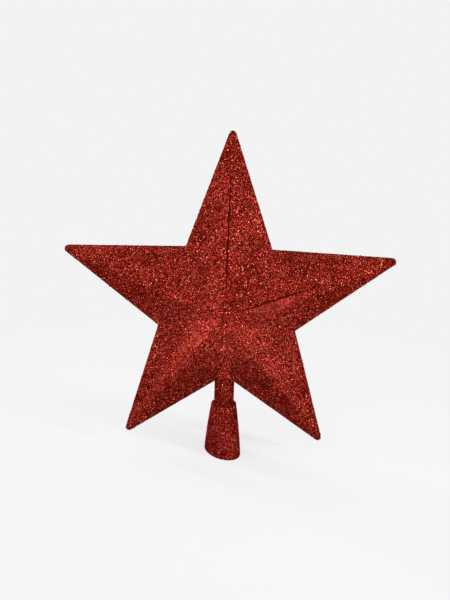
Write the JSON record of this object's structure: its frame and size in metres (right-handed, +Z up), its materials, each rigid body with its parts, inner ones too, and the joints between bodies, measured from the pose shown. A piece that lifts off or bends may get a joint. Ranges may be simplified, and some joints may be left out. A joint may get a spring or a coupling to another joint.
{
  "type": "tree topper star",
  "caption": "Faceted star tree topper covered in deep red glitter, with a round stem and a flared socket that drops over the tip of a tree.",
  "frame": {"origin": "centre of the socket's foot, on the surface it stands on", "axes": "+Z up the stem to the top arm, -Y out of the star's front, +X to the right as seen from the front"},
  "size_m": [0.1982, 0.048, 0.1999],
  "materials": {
    "red_glitter": "fine metallic glitter, rough to the touch"
  },
  "bodies": {
    "root": {"front_shell": "red_glitter", "rear_shell": "red_glitter", "stem_tube": "red_glitter", "socket": "red_glitter"}
  },
  "joints": []
}
